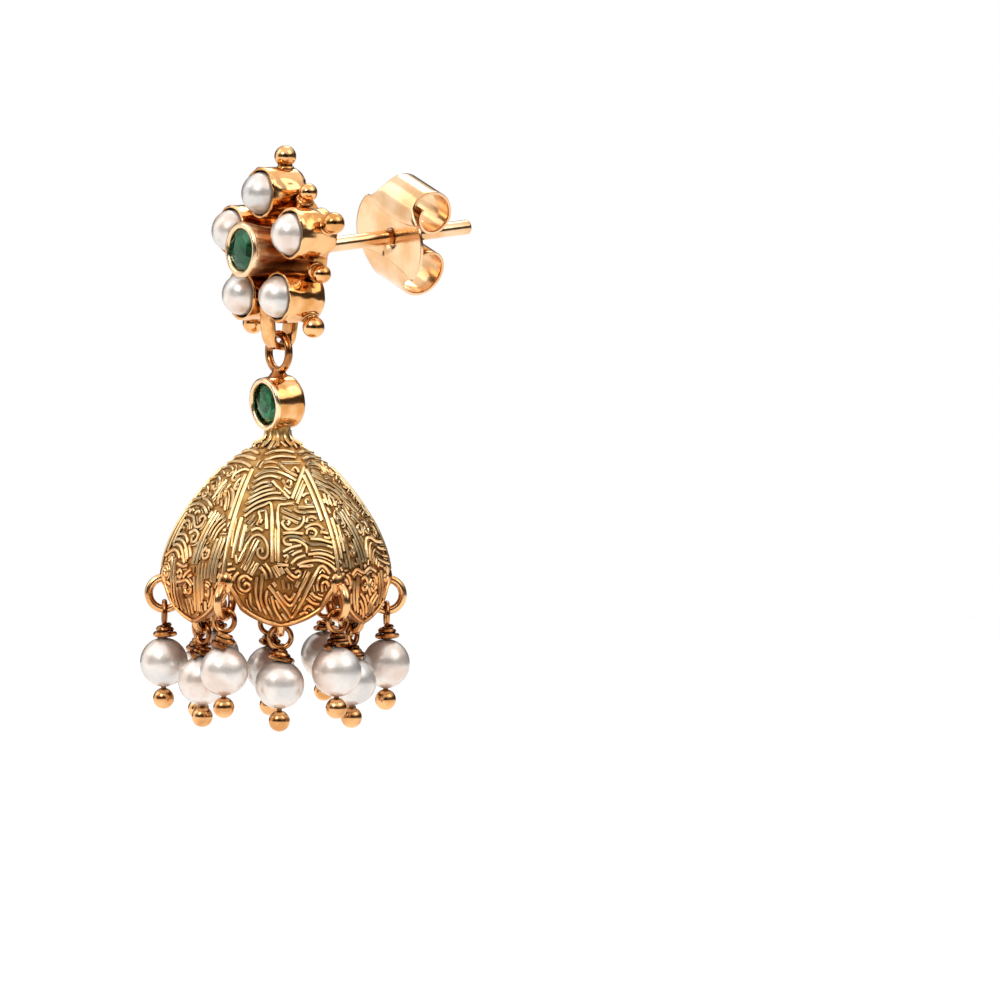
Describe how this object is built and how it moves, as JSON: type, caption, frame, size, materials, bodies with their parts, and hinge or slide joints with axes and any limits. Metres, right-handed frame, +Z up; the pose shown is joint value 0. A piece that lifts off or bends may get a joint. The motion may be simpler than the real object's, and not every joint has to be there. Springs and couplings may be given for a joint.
{
  "type": "jhumka earring",
  "caption": "Drop earring: pearl and emerald flower stud with ear post and butterfly clutch, and a free swinging hollow bell with relief pattern, fringed with pearl drops.",
  "frame": {"origin": "where the ear post's axis meets the flat back of the flower, the place that rests on the earlobe", "axes": "+Z up, the way the drop hangs from; the flower faces -Y; the post runs back towards +Y and rises by 6 degrees; +X to the right as seen from the front"},
  "size_m": [0.0154, 0.0198, 0.0328],
  "materials": {
    "bright_gold": "polished high carat gold",
    "antique_gold": "gold with raised scroll work and dark recesses",
    "wire_gold": "drawn gold wire",
    "pearl": "nacre",
    "emerald": "cut and polished"
  },
  "bodies": {
    "stud": {"stud_frame": "bright_gold", "centre_emerald": "emerald", "petal_pearl_1": "pearl", "petal_pearl_2": "pearl", "petal_pearl_3": "pearl", "petal_pearl_4": "pearl", "petal_pearl_5": "pearl"},
    "clutch": {"clutch": "bright_gold"},
    "drop": {"drop_bezel": "bright_gold", "drop_emerald": "emerald", "dome": "antique_gold", "head_pin_01": "wire_gold", "head_pin_02": "wire_gold", "head_pin_03": "wire_gold", "head_pin_04": "wire_gold", "head_pin_05": "wire_gold", "head_pin_06": "wire_gold", "head_pin_07": "wire_gold", "head_pin_08": "wire_gold", "head_pin_09": "wire_gold", "head_pin_10": "wire_gold", "head_pin_11": "wire_gold", "head_pin_12": "wire_gold", "drop_pearl_01": "pearl", "drop_pearl_02": "pearl", "drop_pearl_03": "pearl", "drop_pearl_04": "pearl", "drop_pearl_05": "pearl", "drop_pearl_06": "pearl", "drop_pearl_07": "pearl", "drop_pearl_08": "pearl", "drop_pearl_09": "pearl", "drop_pearl_10": "pearl", "drop_pearl_11": "pearl", "drop_pearl_12": "pearl"}
  },
  "joints": [
    {"name": "drop_swing", "type": "hinge", "parent": "stud", "child": "drop", "pos_m": [0, -0.00098, -0.00497], "axis": [1, 0, 0], "range_deg": [-60, 60]},
    {"name": "clutch_slide", "type": "slide", "parent": "stud", "child": "clutch", "axis": [0, 0.9945, 0.1045], "range_m": [-0.0055, 0.007]}
  ]
}
